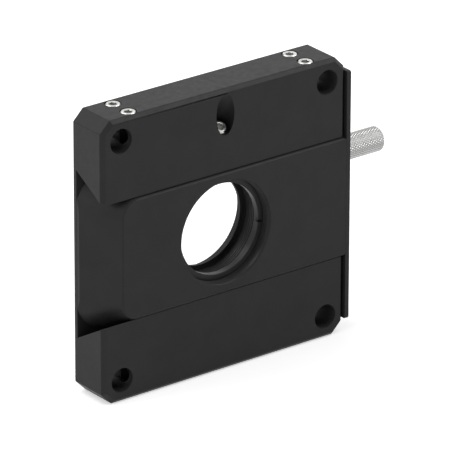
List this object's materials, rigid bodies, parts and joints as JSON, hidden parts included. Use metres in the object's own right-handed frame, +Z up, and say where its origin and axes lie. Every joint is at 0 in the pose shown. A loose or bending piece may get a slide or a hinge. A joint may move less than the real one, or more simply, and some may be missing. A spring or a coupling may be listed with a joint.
{
  "type": "cage filter holder",
  "caption": "Square black plate for parallel cage rods with a dovetail carrier that slides out sideways by a knurled knob and holds a round filter under a threaded ring.",
  "frame": {"origin": "on the cage axis, midway between the four rods, in the plane of the seat that the filter rests on", "axes": "+X right, towards the knob; +Y along the cage axis, away from the side the filter is put in from; +Z up"},
  "size_m": [0.085, 0.0125, 0.071],
  "materials": {
    "black_anodised": "satin black anodised",
    "stainless": "turned stainless steel",
    "knob_steel": "knurled stainless steel",
    "black_steel": "black oxide",
    "nylon": "natural nylon"
  },
  "bodies": {
    "frame": {"frame_plate": "black_anodised"},
    "carrier": {"filter_carrier": "black_anodised", "end_plate": "black_anodised", "end_plate_screw": "black_steel"},
    "ring": {"retaining_ring": "black_anodised"},
    "knob": {"thumb_knob": "knob_steel", "knob_stud": "stainless"},
    "lock": {"lock_screw": "stainless", "lock_tip": "nylon"},
    "rod_screw_upper_left_front": {"rod_screw_upper_left_front": "stainless"},
    "rod_screw_upper_left_rear": {"rod_screw_upper_left_rear": "stainless"},
    "rod_screw_lower_left_front": {"rod_screw_lower_left_front": "stainless"},
    "rod_screw_lower_left_rear": {"rod_screw_lower_left_rear": "stainless"},
    "rod_screw_upper_right_front": {"rod_screw_upper_right_front": "stainless"},
    "rod_screw_upper_right_rear": {"rod_screw_upper_right_rear": "stainless"},
    "rod_screw_lower_right_front": {"rod_screw_lower_right_front": "stainless"},
    "rod_screw_lower_right_rear": {"rod_screw_lower_right_rear": "stainless"}
  },
  "joints": [
    {"name": "carrier_slide", "type": "slide", "parent": "frame", "child": "carrier", "axis": [1, 0, 0], "range_m": [0, 0.0725]},
    {"name": "ring_travel", "type": "slide", "parent": "carrier", "child": "ring", "axis": [0, -1, 0], "range_m": [-0.00545, 0.0045]},
    {"name": "knob_turn", "type": "hinge", "parent": "carrier", "child": "knob", "pos_m": [0.0368, -0.0042, 0.0095], "axis": [1, 0, 0], "continuous": true},
    {"name": "lock_travel", "type": "slide", "parent": "frame", "child": "lock", "axis": [0, 0.5, -0.866], "range_m": [-0.012, 0.00008]},
    {"name": "clamp_upper_left_front", "type": "slide", "parent": "frame", "child": "rod_screw_upper_left_front", "axis": [0, 0, -1], "range_m": [-0.0033, 0.0006]},
    {"name": "clamp_upper_left_rear", "type": "slide", "parent": "frame", "child": "rod_screw_upper_left_rear", "axis": [0, 0, -1], "range_m": [-0.0033, 0.0006]},
    {"name": "clamp_lower_left_front", "type": "slide", "parent": "frame", "child": "rod_screw_lower_left_front", "axis": [0, 0, 1], "range_m": [-0.0033, 0.0006]},
    {"name": "clamp_lower_left_rear", "type": "slide", "parent": "frame", "child": "rod_screw_lower_left_rear", "axis": [0, 0, 1], "range_m": [-0.0033, 0.0006]},
    {"name": "clamp_upper_right_front", "type": "slide", "parent": "frame", "child": "rod_screw_upper_right_front", "axis": [0, 0, -1], "range_m": [-0.0033, 0.0006]},
    {"name": "clamp_upper_right_rear", "type": "slide", "parent": "frame", "child": "rod_screw_upper_right_rear", "axis": [0, 0, -1], "range_m": [-0.0033, 0.0006]},
    {"name": "clamp_lower_right_front", "type": "slide", "parent": "frame", "child": "rod_screw_lower_right_front", "axis": [0, 0, 1], "range_m": [-0.0033, 0.0006]},
    {"name": "clamp_lower_right_rear", "type": "slide", "parent": "frame", "child": "rod_screw_lower_right_rear", "axis": [0, 0, 1], "range_m": [-0.0033, 0.0006]}
  ]
}
